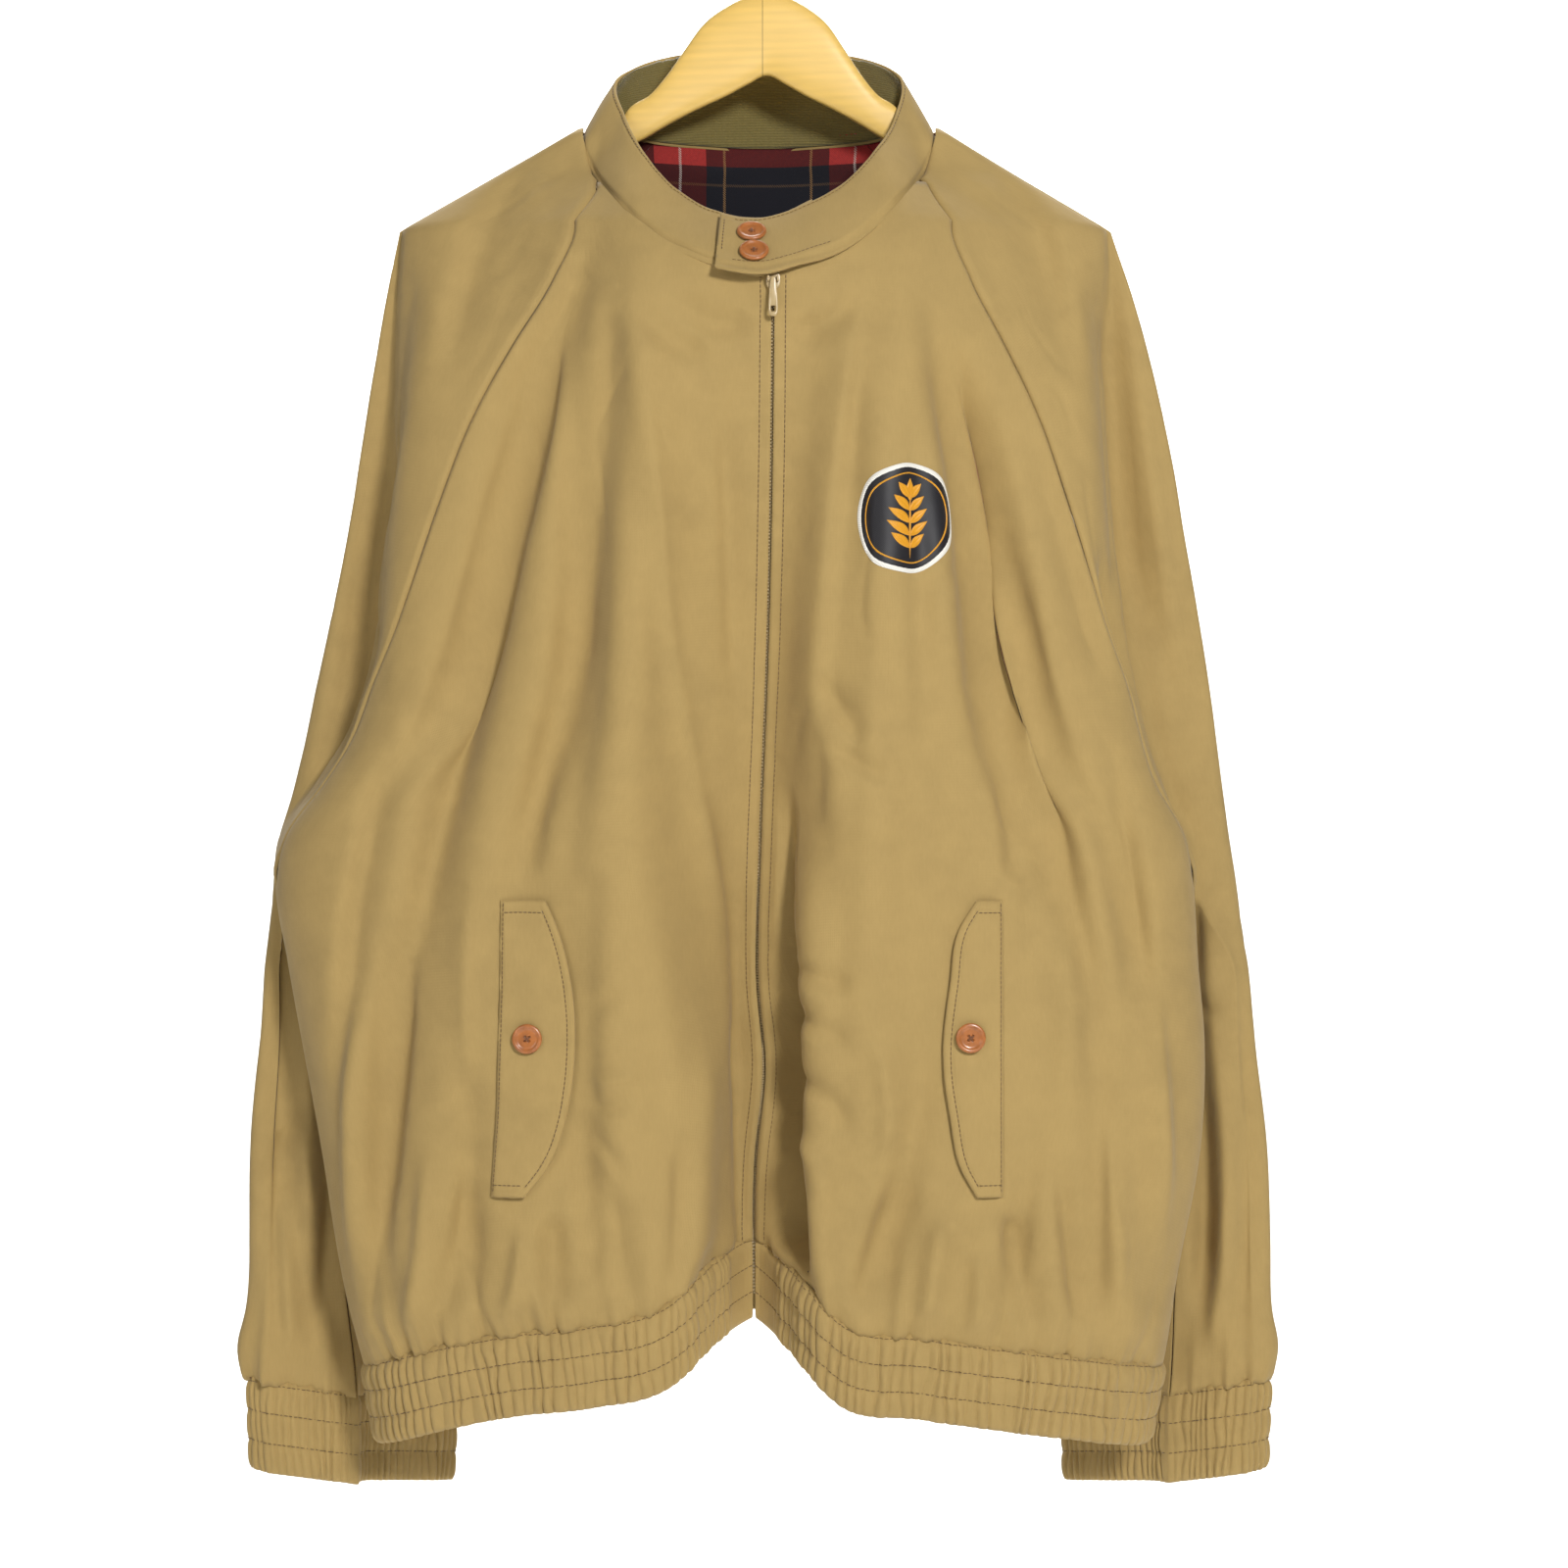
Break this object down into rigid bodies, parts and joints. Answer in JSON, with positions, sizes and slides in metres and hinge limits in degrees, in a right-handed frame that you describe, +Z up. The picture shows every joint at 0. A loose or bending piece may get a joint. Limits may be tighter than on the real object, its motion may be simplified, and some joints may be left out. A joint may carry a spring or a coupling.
{
  "type": "harrington jacket on a hanger",
  "caption": "Short khaki blouson jacket with stand-up buttoned collar, raglan sleeves, flap pockets and gathered hem, hanging on a wooden hanger.",
  "frame": {"origin": "seat inside the top of the hanger's hook", "axes": "+X towards the wearer's left, +Y towards the wearer's back, +Z up"},
  "size_m": [0.6476, 0.1741, 1.0257],
  "materials": {
    "cloth": "matt khaki cotton twill",
    "knit": "olive rib knit",
    "lining": "dark checked cotton",
    "wood": "clear lacquer",
    "steel": "bright",
    "button": "polished",
    "zip_metal": "satin",
    "tape": "woven tape"
  },
  "bodies": {
    "jacket": {"back": "cloth", "collar": "cloth", "collar_facing": "knit", "cuff_left": "cloth", "cuff_right": "cloth", "front_left": "cloth", "front_right": "cloth", "hanger_body": "wood", "hanger_hook": "steel", "hem_band_back": "cloth", "hem_band_left": "cloth", "hem_band_right": "cloth", "lining_back": "lining", "pocket_button_left": "button", "pocket_button_right": "button", "pocket_flap_left": "cloth", "pocket_flap_right": "cloth", "sleeve_left": "cloth", "sleeve_right": "cloth", "tab_button_lower": "button", "tab_button_upper": "button", "zip_slider": "zip_metal", "zip_tape_left": "tape", "zip_tape_right": "tape"},
    "zip_pull_tab": {"zip_pull": "zip_metal"}
  },
  "joints": [
    {"name": "pull_hinge", "type": "hinge", "parent": "jacket", "child": "zip_pull_tab", "pos_m": [0.004, -0.09153, -0.266], "axis": [-1, 0, 0], "range_deg": [0, 110]}
  ]
}
